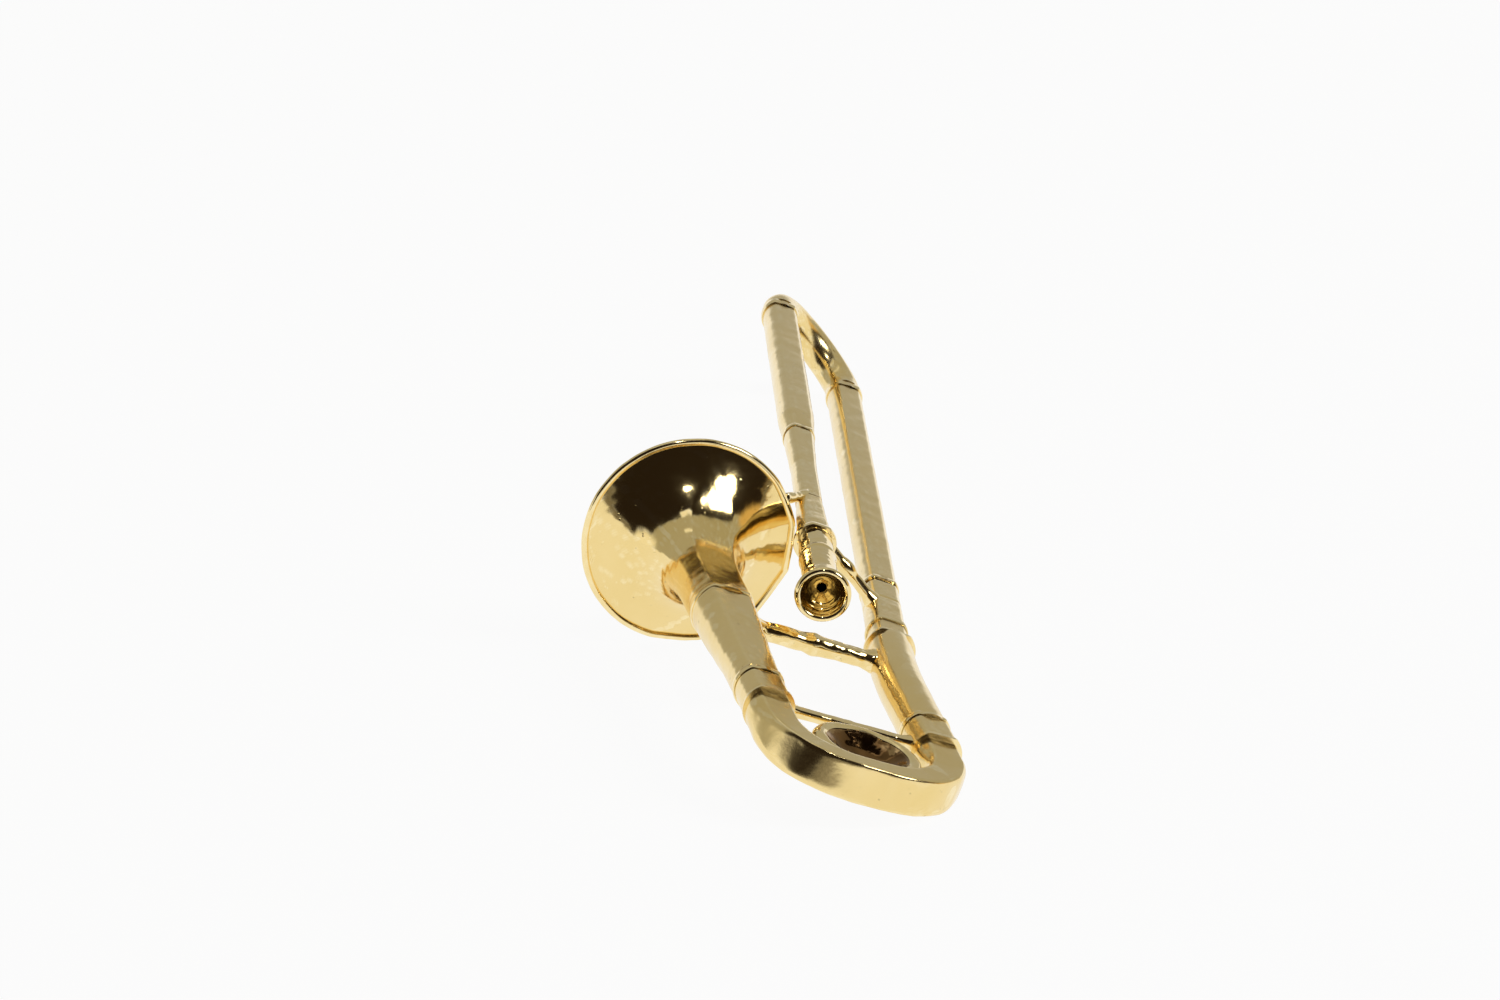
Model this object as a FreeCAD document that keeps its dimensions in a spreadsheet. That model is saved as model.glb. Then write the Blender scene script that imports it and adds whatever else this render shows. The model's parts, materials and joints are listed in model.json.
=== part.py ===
import FreeCAD, Part
import math
import os
import re
import Sketcher
from FreeCAD import Placement, Rotation, Vector

# A miniature trombone lying on a table, long axis along +X, +Z up.
# It rests on three small flats: under the bell rim, under the tuning bow and
# under the far end of the hand slide. Every turned piece is drawn along its
# own +X from its rear end and is then put in one of three frames: horn, neck
# or slide.

doc = FreeCAD.newDocument("miniature_trombone")
sheet = doc.addObject("Spreadsheet::Sheet", "Sizes")

driving_sizes = [
    # where the horn lies
    ("rim_x", -4.4), ("rim_y", 4.04), ("rim_height", 4.12),
    ("horn_pitch", 3.1), ("horn_roll", 20.0),
    ("floor_length", 80.0), ("floor_width", 40.0), ("floor_depth", 5.0),
    # bell
    ("rim_radius", 4.03), ("bead_radius", 0.14), ("bell_wall", 0.3),
    ("flare_length", 5.0), ("flare_tail", 0.6), ("throat_radius", 1.2),
    ("flare_shape", 0.62), ("flare_power", 2.4), ("flare_spacing", 1.7),
    ("rim_lip", 0.12), ("taper_start", 1.2), ("ring_height", 0.07),
    ("ring_width", 0.3), ("lip_width", 0.22),
    # horn tubes and the tuning slide
    ("tube_radius", 0.9), ("tube_bore", 0.6), ("leg_radius", 0.57),
    ("leg_bore", 0.4), ("parting", 14.72), ("leg_depth", 3.1),
    ("sleeve_length", 1.84), ("leg_inset", 0.5), ("leg_gap", 6.6),
    ("parting_gap", 0.03), ("ferrule_step", 0.01),
    ("bow_half_width", 0.55), ("bow_half_height", 0.85), ("bow_corner", 2.9),
    ("bow_straight", 1.9), ("bow_drop", 0.1),
    ("weight_length", 2.1), ("weight_width", 2.0), ("weight_height", 0.72),
    ("weight_back", 19.0),
    # neckpipe and slide receiver
    ("bend_start", 11.5), ("bend_radius", 32.2), ("bend_angle", 9.28),
    ("neck_twist", 6.3), ("slide_roll", 63.5),
    ("receiver_length", 2.05), ("receiver_radius", 0.92),
    ("collar_length", 2.31), ("collar_radius", 0.76), ("collar_bore", 0.5),
    # slide
    ("slide_gap", 4.5), ("barrel_length", 2.5), ("barrel_radius", 0.74),
    ("barrel_bevel", 0.08), ("far_bow_straight", 0.2), ("far_bow_flat", 0.02),
    ("inner_radius", 0.5), ("inner_bore", 0.34), ("inner_end", 31.0),
    ("outer_radius", 0.72), ("outer_bore", 0.53), ("outer_end", 33.83),
    ("neck_tube_start", 6.95), ("mouth_tube_start", 15.8),
    ("socket_start", 3.2), ("socket_radius", 0.64), ("socket_bore", 0.43),
    ("socket_depth", 2.3), ("socket_neck", 1.2), ("socket_end", 7.2),
    ("socket_ring_radius", 0.83),
    # braces
    ("brace_radius", 0.24), ("brace_knob", 0.34), ("brace_foot", 0.38),
    ("front_brace_back", 8.0), ("rear_brace_back", 15.95),
    ("rear_brace_radius", 0.2), ("slide_brace_at", 5.85),
    ("foot_width", 0.12), ("foot_end", 0.3), ("knob_flat", 0.14),
    ("knob_end", 0.32), ("stay_reach", 0.15),
    ("strut_radius", 0.2), ("strut_turn", 42.0), ("strut_head", 8.2),
    # mouthpiece
    ("mouth_start", -4.03), ("mouth_rim", 1.04), ("mouth_lip", 0.25),
    ("rim_round", 0.06), ("cup_radius", 0.8), ("cup_depth", 0.95),
    ("cup_knee", 0.55), ("cup_waist", 0.78), ("throat_bore", 0.165),
    ("cup_taper", 1.1), ("mouth_body", 0.67), ("shank_radius", 0.4),
    ("shank_length", 2.1), ("fit_gap", 0.03),
]
for row, (alias, value) in enumerate(driving_sizes, start=1):
    sheet.set("A%d" % row, alias)
    sheet.set("B%d" % row, str(value))
    sheet.setAlias("B%d" % row, alias)
aliases = [alias for alias, _ in driving_sizes]
doc.recompute()


def size(text):
    """The number that an expression of sheet cells comes to."""
    return float(sheet.evalExpression(text))


def bound(text):
    """The same expression, written so that another object can use it."""
    return re.sub("[a-z_]+", lambda word: "Sizes." + word.group()
                  if word.group() in aliases else word.group(), text)


def new_sketch(body, name, role):
    """A sketch on one of the body's own origin planes."""
    sketch = body.newObject("Sketcher::SketchObject", name)
    plane = next(item for item in body.Origin.OriginFeatures if item.Role == role)
    sketch.AttachmentSupport = [(plane, "")]
    sketch.MapMode = "FlatFace"
    return sketch


def pin_point(sketch, line, point, x_text, y_text):
    """Fix one sketch point at two expressions measured from the origin."""
    for kind, text, axis in (("DistanceX", x_text, -2), ("DistanceY", y_text, -1)):
        if text == "0":
            sketch.addConstraint(Sketcher.Constraint("PointOnObject", line, point, axis))
            continue
        number = sketch.addConstraint(
            Sketcher.Constraint(kind, -1, 1, line, point, size(text)))
        sketch.setExpression("Constraints[%d]" % number, bound(text))


def turned(name, corners):
    """A piece turned about its own X axis from a closed outline of (x, radius)."""
    body = doc.addObject("PartDesign::Body", name)
    sketch = new_sketch(body, name + "_outline", "XY_Plane")
    points = [Vector(size(x), size(r), 0) for x, r in corners]
    for index, point in enumerate(points):
        following = points[(index + 1) % len(points)]
        sketch.addGeometry(Part.LineSegment(point, following), False)
    for index in range(len(points)):
        following = (index + 1) % len(points)
        sketch.addConstraint(Sketcher.Constraint("Coincident", index, 2, following, 1))
        pin_point(sketch, index, 1, *corners[index])
    spin = body.newObject("PartDesign::Revolution", name + "_turning")
    spin.Profile = sketch
    spin.ReferenceAxis = (sketch, ["H_Axis"])
    spin.Angle = 360
    body.Tip = spin
    return body


def tube(name, length, radius, bore):
    """A plain straight tube."""
    return turned(name, [("0", bore), (length, bore), (length, radius), ("0", radius)])


def place(item, frame, x=0.0, y=0.0, z=0.0, turn=None):
    """Put a piece in a frame."""
    item.Placement = frame.multiply(Placement(Vector(x, y, z), turn or Rotation()))
    return item


def hide_below_floor(item, name):
    """File a small flat where a piece meets the table."""
    flat = doc.addObject("Part::Cut", name)
    flat.Base = item
    flat.Tool = floor_block
    return flat


def cope(item, name, *hosts):
    """Shape a piece's ends to the pieces that it is soldered to."""
    for step, host in enumerate(hosts):
        cut = doc.addObject("Part::Cut", "%s_%d" % (name, step))
        cut.Base = item
        cut.Tool = host
        item = cut
    return item


# Frames ------------------------------------------------------------------

horn = Placement(Vector(size("rim_x"), size("rim_y"), size("rim_height")),
                 Rotation(0, -size("horn_pitch"), size("horn_roll")))
neck = horn.multiply(Placement(Vector(-size("bend_start"), -size("leg_gap"), 0),
                               Rotation(0, 0, size("neck_twist"))))
bend = math.radians(size("bend_angle"))
slide = neck.multiply(Placement(
    Vector(size("bend_radius") * math.sin(bend),
           -size("bend_radius") * (1 - math.cos(bend)), 0),
    Rotation(-size("bend_angle"), 0, 0)))
slide = slide.multiply(Placement(Vector(), Rotation(0, 0, -size("slide_roll"))))

floor_block = doc.addObject("Part::Box", "floor_block")
floor_block.setExpression("Length", "Sizes.floor_length")
floor_block.setExpression("Width", "Sizes.floor_width")
floor_block.setExpression("Height", "Sizes.floor_depth")
floor_block.Placement = Placement(
    Vector(-size("floor_length / 2"), -size("floor_width / 2"), -size("floor_depth")), Rotation())

sub_parts = []


def keep(item, label):
    """Name a finished sub-part; the name is also its file's."""
    item.Label = label
    sub_parts.append(item)
    return item


# Bell section ------------------------------------------------------------

def flare_radius(depth):
    """Outer radius of the bell at a depth behind its rim."""
    rim = size("rim_radius")
    throat = size("throat_radius")
    rest = (1 - depth / size("flare_length")) ** size("flare_power")
    return throat + (rim - throat) * (1 - (1 - rest) ** size("flare_shape"))


def bell_flare():
    """A thin shell: a spline through the bell curve and its inner offset."""
    length = size("flare_length")
    tail = size("flare_tail")
    wall = size("bell_wall")
    lip = size("rim_lip")
    steps = 14
    depths = [length * (step / steps) ** size("flare_spacing") for step in range(steps + 1)]
    outer = [Vector(-depth, flare_radius(depth), 0) for depth in depths]
    curve = Part.BSplineCurve()
    curve.interpolate(outer, InitialTangent=Vector(-lip, -1, 0), FinalTangent=Vector(-1, 0, 0))
    inner = [point + curve.tangent(curve.parameter(point))[0].cross(Vector(0, 0, -1)) * wall
             for point in outer]
    mouth = Vector(0, outer[0].y - lip, 0)
    inner = [mouth] + [point for point in inner if point.x < -lip]
    lining = Part.BSplineCurve()
    lining.interpolate(inner)
    back_outer = Vector(-length - tail, outer[-1].y, 0)
    back_inner = Vector(-length - tail, inner[-1].y, 0)
    wire = Part.Wire([
        curve.toShape(),
        Part.makeLine(outer[-1], back_outer),
        Part.makeLine(back_outer, back_inner),
        Part.makeLine(back_inner, inner[-1]),
        lining.toShape().reversed(),
        Part.makeLine(inner[0], outer[0])])
    shape = Part.Face(wire).revolve(Vector(), Vector(1, 0, 0), 360)
    item = doc.addObject("Part::Feature", "bell_shell")
    item.Shape = Part.Solid(shape) if shape.ShapeType != "Solid" else shape
    return place(item, horn)


def bell_rim_bead():
    """The rolled wire round the rim, filed flat where it stands."""
    bead = doc.addObject("Part::Torus", "rim_wire")
    bead.setExpression("Radius1", "Sizes.rim_radius")
    bead.setExpression("Radius2", "Sizes.bead_radius")
    place(bead, horn, turn=Rotation(Vector(0, 1, 0), 90))
    return hide_below_floor(cope(bead, "rim_wire_on_bell", flare), "rim_wire_filed")


def bell_tube():
    """The tapering tube behind the flare, bored for the tuning slide."""
    length = "parting - flare_length - flare_tail - ring_width"
    body = turned("bell_pipe", [
        ("0", "tube_bore"), ("leg_depth", "tube_bore"), (length, "throat_radius - bell_wall"),
        (length, "throat_radius"), ("taper_start", "tube_radius"), ("0", "tube_radius")])
    return place(body, horn, x=-size("parting - ring_width"))


def lip_ring(name, inner, outer_radius, width):
    """A small raised ring round a tube."""
    return turned(name, [("0", inner), (width, inner), (width, outer_radius), ("0", outer_radius)])


flare = keep(bell_flare(), "bell_flare")
keep(bell_rim_bead(), "bell_rim_bead")
bell_pipe = keep(bell_tube(), "bell_tube")
keep(place(lip_ring("flare_ring", "throat_radius", "throat_radius + ring_height", "ring_width"),
           horn, x=-size("flare_length + 1.5 * ring_width")), "bell_joint_ring")
keep(place(lip_ring("bell_end_lip", "tube_radius", "tube_radius + ring_height", "ring_width"),
           horn, x=-size("parting")), "bell_end_ring")
keep(place(lip_ring("neck_end_lip", "tube_radius", "tube_radius + ring_height", "ring_width"),
           horn, x=-size("parting"), y=-size("leg_gap")), "neck_end_ring")


def neckpipe():
    """A pipe that runs straight past the tuning leg, then bends to the slide."""
    body = doc.addObject("PartDesign::Body", "neck_pipe")
    spine = new_sketch(body, "neck_line", "XY_Plane")
    straight = size("parting - bend_start")
    radius = size("bend_radius")
    spine.addGeometry(Part.LineSegment(Vector(-straight, 0, 0), Vector()), False)
    centre = Vector(0, -radius, 0)
    bow = Part.ArcOfCircle(Part.Circle(centre, Vector(0, 0, 1), radius),
                           math.pi / 2 - bend, math.pi / 2)
    spine.addGeometry(bow, False)
    spine.addConstraint(Sketcher.Constraint("Coincident", 0, 2, -1, 1))
    spine.addConstraint(Sketcher.Constraint("Tangent", 0, 2, 1, 2))
    spine.addConstraint(Sketcher.Constraint("Horizontal", 0))
    for kind, arguments, text in (
            ("Distance", (0, straight), "parting - bend_start"),
            ("Radius", (1, radius), "bend_radius"),
            ("DistanceX", (-1, 1, 1, 1, radius * math.sin(bend)),
             "bend_radius * sin(bend_angle * 1deg)")):
        number = spine.addConstraint(Sketcher.Constraint(kind, *arguments))
        spine.setExpression("Constraints[%d]" % number, bound(text))
    for step, (kind, alias) in enumerate((("PartDesign::AdditivePipe", "tube_radius"),
                                          ("PartDesign::SubtractivePipe", "tube_bore"))):
        ring = new_sketch(body, "neck_ring_%d" % step, "YZ_Plane")
        ring.AttachmentOffset = Placement(Vector(0, 0, -straight), Rotation())
        ring.addGeometry(Part.Circle(Vector(), Vector(0, 0, 1), size(alias)), False)
        ring.addConstraint(Sketcher.Constraint("Coincident", 0, 3, -1, 1))
        number = ring.addConstraint(Sketcher.Constraint("Radius", 0, size(alias)))
        ring.setExpression("Constraints[%d]" % number, bound(alias))
        pipe = body.newObject(kind, "neck_sweep_%d" % step)
        pipe.Profile = ring
        pipe.Spine = spine
        body.Tip = pipe
        doc.recompute()
    return place(body, neck)


neck_pipe = keep(neckpipe(), "neckpipe")


def brace(name, length, radius):
    """A turned stay with a foot at each end and a knob halfway."""
    length = "(%s)" % length
    return turned(name, [
        ("0", "0"), (length, "0"), (length, "brace_foot"),
        (length + " - foot_width", "brace_foot"), (length + " - foot_end", radius),
        (length + " / 2 + knob_end", radius), (length + " / 2 + knob_flat", "brace_knob"),
        (length + " / 2 - knob_flat", "brace_knob"), (length + " / 2 - knob_end", radius),
        ("foot_end", radius), ("foot_width", "brace_foot"), ("0", "brace_foot")])


towards_neck = Rotation(Vector(0, 0, 1), -90)
front_stay = place(brace("front_stay", "leg_gap - throat_radius - tube_radius + 3 * stay_reach",
                         "brace_radius"), horn, x=-size("front_brace_back"),
                   y=-size("throat_radius - stay_reach"), turn=towards_neck)
keep(cope(front_stay, "front_stay_coped", bell_pipe, neck_pipe), "front_brace")


# Slide section, fixed to the bell section ---------------------------------

keep(place(turned("receiver_sleeve", [
    ("0", "collar_bore"), ("receiver_length", "collar_bore"),
    ("receiver_length", "receiver_radius + ring_height"),
    ("receiver_length - lip_width", "receiver_radius + ring_height"),
    ("receiver_length - lip_width", "receiver_radius"),
    ("ring_width", "receiver_radius"), ("ring_width", "receiver_radius + ring_height"),
    ("0", "receiver_radius + ring_height")]), slide), "slide_receiver")
keep(place(turned("collar_sleeve", [
    ("0", "collar_bore"), ("collar_length", "collar_bore"),
    ("collar_length", "collar_radius + ring_height"),
    ("collar_length - lip_width", "collar_radius + ring_height"),
    ("collar_length - lip_width", "collar_radius"), ("0", "collar_radius")]), slide,
    x=size("receiver_length")), "slide_collar")
collar_end = size("receiver_length + collar_length")
cork_barrel = keep(place(turned("cork_barrel", [
    ("0", "inner_radius"), ("barrel_length", "inner_radius"),
    ("barrel_length", "barrel_radius - barrel_bevel"),
    ("barrel_length - 2 * barrel_bevel", "barrel_radius"),
    ("0", "barrel_radius")]), slide, x=collar_end), "neck_cork_barrel")
keep(place(tube("neck_inner_pipe", "inner_end - receiver_length - collar_length",
                "inner_radius", "inner_bore"), slide, x=collar_end), "neck_inner_tube")
socket = keep(place(turned("socket_sleeve", [
    ("0", "socket_bore"), ("socket_depth", "socket_bore"), ("socket_depth", "inner_bore"),
    ("socket_end - socket_start", "inner_bore"), ("socket_end - socket_start", "inner_radius"),
    ("socket_neck", "socket_radius"), ("0", "socket_radius")]), slide,
    x=size("socket_start"), z=size("slide_gap")), "mouthpiece_receiver")
keep(place(lip_ring("socket_lip", "socket_radius", "socket_ring_radius", "ring_width"), slide,
           x=size("socket_start"), z=size("slide_gap")), "mouthpiece_receiver_ring")
keep(place(tube("mouth_inner_pipe", "inner_end - socket_end", "inner_radius", "inner_bore"),
           slide, x=size("socket_end"), z=size("slide_gap")), "mouth_inner_tube")
slide_stay = place(brace("slide_stay", "slide_gap - barrel_radius - inner_radius + stay_reach",
                         "brace_radius"), slide, x=size("slide_brace_at"),
                   z=size("barrel_radius - stay_reach"), turn=Rotation(Vector(0, 1, 0), -90))
keep(cope(slide_stay, "slide_stay_coped", cork_barrel, socket), "inner_slide_brace")


def rim_strut():
    """A short pin that ties the bell rim to the mouthpiece side of the slide."""
    pin = doc.addObject("Part::Cylinder", "strut_pin")
    pin.setExpression("Radius", "Sizes.strut_radius")
    reach = size("rim_radius + bead_radius")
    turn = math.radians(size("strut_turn"))
    foot = horn.multVec(Vector(0, -reach * math.cos(turn), reach * math.sin(turn)))
    head = slide.multVec(Vector(size("strut_head"), 0, size("slide_gap")))
    along = head - foot
    pin.Height = along.Length - size("inner_radius")
    pin.Placement = Placement(foot, Rotation(Vector(0, 0, 1), along))
    return pin


keep(rim_strut(), "rim_strut")

# Hand slide ---------------------------------------------------------------

keep(place(tube("neck_outer_pipe", "outer_end - neck_tube_start", "outer_radius", "outer_bore"),
           slide, x=size("neck_tube_start")), "neck_outer_tube")
keep(place(tube("mouth_outer_pipe", "outer_end - mouth_tube_start", "outer_radius",
                "outer_bore"), slide, x=size("mouth_tube_start"), z=size("slide_gap")),
     "mouth_outer_tube")
for side, start, height in (("neck", "neck_tube_start", 0.0),
                            ("mouth", "mouth_tube_start", size("slide_gap"))):
    keep(place(lip_ring(side + "_mouth_lip", "outer_radius", "outer_radius + ring_height",
                        "ring_width"), slide, x=size(start), z=height),
         side + "_outer_end_ring")
    ferrule = place(lip_ring(side + "_bow_lip", "outer_radius", "outer_radius + ring_height",
                             "2 * ring_width"), slide,
                    x=size("outer_end - 2 * ring_width"), z=height)
    keep(hide_below_floor(ferrule, side + "_bow_lip_filed"), side + "_bow_ferrule")


def bend_wire(sketch, gap, straight, corner, names):
    """A U of two legs, two quarter bends and a back, drawn towards +X."""
    back = gap - 2 * corner
    top = Vector(0, gap, 0)
    sketch.addGeometry(Part.LineSegment(Vector(), Vector(straight, 0, 0)), False)
    low = Part.Circle(Vector(straight, corner, 0), Vector(0, 0, 1), corner)
    sketch.addGeometry(Part.ArcOfCircle(low, -math.pi / 2, 0), False)
    sketch.addGeometry(Part.LineSegment(Vector(straight + corner, corner, 0),
                                        Vector(straight + corner, corner + back, 0)), False)
    high = Part.Circle(Vector(straight, gap - corner, 0), Vector(0, 0, 1), corner)
    sketch.addGeometry(Part.ArcOfCircle(high, 0, math.pi / 2), False)
    sketch.addGeometry(Part.LineSegment(Vector(straight, gap, 0), top), False)
    for first, first_end, second, second_end in ((0, 2, 1, 1), (1, 2, 2, 1), (2, 2, 3, 1),
                                                 (3, 2, 4, 1)):
        sketch.addConstraint(
            Sketcher.Constraint("Tangent", first, first_end, second, second_end))
    sketch.addConstraint(Sketcher.Constraint("Coincident", 0, 1, -1, 1))
    sketch.addConstraint(Sketcher.Constraint("Horizontal", 0))
    sketch.addConstraint(Sketcher.Constraint("PointOnObject", 4, 2, -2))
    for kind, arguments, text in (
            ("Distance", (0, straight), names[0]),
            ("Radius", (1, corner), names[1]),
            ("Radius", (3, corner), names[1]),
            ("DistanceY", (-1, 1, 4, 2, gap), names[2])):
        number = sketch.addConstraint(Sketcher.Constraint(kind, *arguments))
        sketch.setExpression("Constraints[%d]" % number, bound(text))


def bent_bow(name, names, half_width, half_height, bore):
    """A U-shaped pipe of oval or round section, drawn towards +X."""
    straight, corner, gap = (size(text) for text in names)
    body = doc.addObject("PartDesign::Body", name)
    spine = new_sketch(body, name + "_line", "XY_Plane")
    bend_wire(spine, gap, straight, corner, names)
    sections = [("PartDesign::AdditivePipe", half_width, half_height)]
    if bore:
        sections.append(("PartDesign::SubtractivePipe", bore, bore))
    for step, (kind, wide, high) in enumerate(sections):
        ring = new_sketch(body, "%s_section_%d" % (name, step), "YZ_Plane")
        if wide == high:
            ring.addGeometry(Part.Circle(Vector(), Vector(0, 0, 1), size(wide)), False)
            number = ring.addConstraint(Sketcher.Constraint("Radius", 0, size(wide)))
            ring.setExpression("Constraints[%d]" % number, bound(wide))
        else:
            ring.addGeometry(Part.Ellipse(Vector(0, size(high), 0), Vector(size(wide), 0, 0),
                                          Vector()), False)
            ring.exposeInternalGeometry(0)
            ring.addConstraint(Sketcher.Constraint("Vertical", 1))
            for diameter, text in ((1, high), (2, wide)):
                number = ring.addConstraint(
                    Sketcher.Constraint("Distance", diameter, 2 * size(text)))
                ring.setExpression("Constraints[%d]" % number, "2 * " + bound(text))
        ring.addConstraint(Sketcher.Constraint("Coincident", 0, 3, -1, 1))
        pipe = body.newObject(kind, "%s_sweep_%d" % (name, step))
        pipe.Profile = ring
        pipe.Spine = spine
        body.Tip = pipe
        doc.recompute()
    return body


slide_bow = bent_bow("far_bow", ("far_bow_straight", "(slide_gap - far_bow_flat) / 2", "slide_gap"),
                     "outer_radius", "outer_radius", "outer_bore")
place(slide_bow, slide, x=size("outer_end"), turn=Rotation(Vector(1, 0, 0), 90))
keep(hide_below_floor(slide_bow, "far_bow_filed"), "slide_bow")

# Tuning slide ---------------------------------------------------------------

backwards = Rotation(Vector(0, 0, 1), 180)
ferrules = []
for side, shift in (("bell", 0.0), ("neck", -size("leg_gap"))):
    ferrules.append(keep(place(turned(side + "_sleeve_ring", [
        ("0", "leg_radius"), ("sleeve_length - parting_gap", "leg_radius"),
        ("sleeve_length - parting_gap", "tube_radius + ring_height"),
        ("sleeve_length - parting_gap - lip_width", "tube_radius + ring_height"),
        ("sleeve_length - parting_gap - lip_width", "tube_radius + ferrule_step"),
        ("0", "tube_radius + ferrule_step")]), horn, x=-size("parting + parting_gap"), y=shift,
        turn=backwards), side + "_tuning_ferrule"))
    keep(place(tube(side + "_tuning_pipe", "leg_depth + sleeve_length - leg_inset",
                    "leg_radius", "leg_bore"), horn,
               x=-size("parting + sleeve_length - leg_inset"), y=shift),
         side + "_tuning_leg")

tuning_bow = bent_bow("rear_bow", ("bow_straight", "bow_corner", "leg_gap"),
                      "bow_half_width", "bow_half_height", None)
place(tuning_bow, horn, x=-size("parting + sleeve_length"), y=0.0,
      z=-size("bow_drop"), turn=backwards)
bow = keep(hide_below_floor(tuning_bow, "rear_bow_filed"), "tuning_bow")
rear_stay = place(brace("rear_stay", "leg_gap - 2 * tube_radius + 2 * stay_reach",
                        "rear_brace_radius"), horn, x=-size("rear_brace_back"),
                  y=-size("tube_radius - stay_reach"), turn=towards_neck)
keep(cope(rear_stay, "rear_stay_coped", *ferrules), "rear_brace")
weight = doc.addObject("Part::Ellipsoid", "weight_oval")
for cell, length in (("Radius1", "weight_height"), ("Radius2", "weight_width"),
                     ("Radius3", "weight_length")):
    weight.setExpression(cell, bound(length))
place(weight, horn, x=-size("weight_back"), y=-size("leg_gap / 2"))
keep(cope(weight, "weight_on_bow", bow), "balance_weight")

# Mouthpiece -----------------------------------------------------------------

keep(place(turned("mouthpiece_turning", [
    ("0", "cup_radius"), ("cup_depth * cup_knee", "cup_radius * cup_waist"),
    ("cup_depth", "throat_bore"),
    ("socket_start - mouth_start + shank_length", "throat_bore"),
    ("socket_start - mouth_start + shank_length", "shank_radius"),
    ("socket_start - mouth_start - fit_gap", "shank_radius"),
    ("socket_start - mouth_start - fit_gap", "mouth_body"),
    ("cup_taper", "mouth_body"), ("mouth_lip", "mouth_rim"), ("rim_round", "mouth_rim"),
    ("0", "mouth_rim - rim_round")]), slide, x=size("mouth_start"), z=size("slide_gap")),
    "mouthpiece")

# Check and write --------------------------------------------------------------

doc.recompute()
for item in doc.Objects:
    if "Invalid" in item.State or "Error" in item.State:
        raise RuntimeError("%s failed: %s" % (item.Label, item.State))
for item in sub_parts:
    if item.Shape.isNull() or not item.Shape.isValid():
        raise RuntimeError("%s has no sound shape" % item.Label)
os.makedirs("parts", exist_ok=True)
whole = FreeCAD.BoundBox()
for item in sub_parts:
    item.Shape.exportStep("parts/%s.step" % item.Label)
    whole.add(item.Shape.optimalBoundingBox())
print("%d sub-parts, box %.2f to %.2f, %.2f to %.2f, %.2f to %.2f" % (
    len(sub_parts), whole.XMin, whole.XMax, whole.YMin, whole.YMax, whole.ZMin, whole.ZMax))
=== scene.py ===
import json
import math

import bmesh
import bpy
from mathutils import Matrix, Vector, noise


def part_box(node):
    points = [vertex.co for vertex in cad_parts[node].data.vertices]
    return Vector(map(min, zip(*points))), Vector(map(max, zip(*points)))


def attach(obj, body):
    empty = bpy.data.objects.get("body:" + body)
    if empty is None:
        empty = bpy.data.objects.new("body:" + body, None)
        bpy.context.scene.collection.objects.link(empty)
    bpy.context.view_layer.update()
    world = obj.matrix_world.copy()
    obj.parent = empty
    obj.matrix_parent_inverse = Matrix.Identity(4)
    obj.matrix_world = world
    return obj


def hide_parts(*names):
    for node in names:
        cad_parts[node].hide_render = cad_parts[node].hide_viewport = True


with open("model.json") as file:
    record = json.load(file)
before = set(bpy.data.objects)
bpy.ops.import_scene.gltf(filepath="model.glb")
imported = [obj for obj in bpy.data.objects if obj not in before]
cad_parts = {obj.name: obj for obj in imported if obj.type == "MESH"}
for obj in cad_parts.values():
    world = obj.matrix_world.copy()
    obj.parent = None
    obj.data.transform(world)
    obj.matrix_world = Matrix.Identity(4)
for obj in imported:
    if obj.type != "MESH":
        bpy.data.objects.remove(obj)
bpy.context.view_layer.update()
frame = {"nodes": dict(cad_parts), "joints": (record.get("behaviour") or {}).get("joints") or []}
print("frame loaded")

mm = 0.001
scene = bpy.context.scene

# where the instrument's own frames are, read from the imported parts


def centreOf(node):
    low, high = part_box(node)
    return (low + high) / 2


def frameMatrix(origin, xAxis, yAxis, zAxis):
    matrix = Matrix.Identity(4)
    for column, axis in enumerate((xAxis, yAxis, zAxis, origin)):
        matrix.col[column][:3] = axis
    return matrix


def span(node, matrix):
    # lowest and highest corner of a node in one of the frames, and its least and
    # greatest distance from that frame's X axis
    inverse = matrix.inverted()
    local = [inverse @ v.co for v in frame["nodes"][node].data.vertices]
    radii = [math.hypot(p.y, p.z) for p in local]
    return {"start": min(p.x for p in local), "end": max(p.x for p in local),
            "inner": min(radii), "outer": max(radii)}


jointAxes = {joint["name"]: Vector(joint["axis"]).normalized() for joint in frame["joints"]}
hornX = -jointAxes["tuning_slide_travel"]
legStep = centreOf("bell_end_ring") - centreOf("neck_end_ring")
hornY = (legStep - hornX * legStep.dot(hornX)).normalized()
hornZ = hornX.cross(hornY)
legGap = legStep.length
rimPlane = span("bell_rim_bead", frameMatrix(centreOf("bell_end_ring"), hornX, hornY, hornZ))
rimCentre = centreOf("bell_end_ring") + hornX * (rimPlane["start"] + rimPlane["end"]) / 2
horn = frameMatrix(rimCentre, hornX, hornY, hornZ)
hornNeck = horn @ Matrix.Translation((0, -legGap, 0))

slideX = jointAxes["hand_slide_travel"]
slideStep = centreOf("mouth_outer_end_ring") - centreOf("neck_outer_end_ring")
slideZ = (slideStep - slideX * slideStep.dot(slideX)).normalized()
slideY = slideZ.cross(slideX)
slideGap = (slideStep - slideX * slideStep.dot(slideX)).length
slideOrigin = centreOf("neck_outer_end_ring")
receiverSpan = span("slide_receiver", frameMatrix(slideOrigin, slideX, slideY, slideZ))
slide = frameMatrix(slideOrigin + slideX * receiverSpan["start"], slideX, slideY, slideZ)
slideMouth = slide @ Matrix.Translation((0, 0, slideGap))

# camera first

cameraView = {
    "eye": (-0.253736, 0.047971, 0.090314),
    "aim": (0.9325, -0.1732, -0.3168),
    "lens": 168.0,
    "sensor": 36.0,
}


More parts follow.
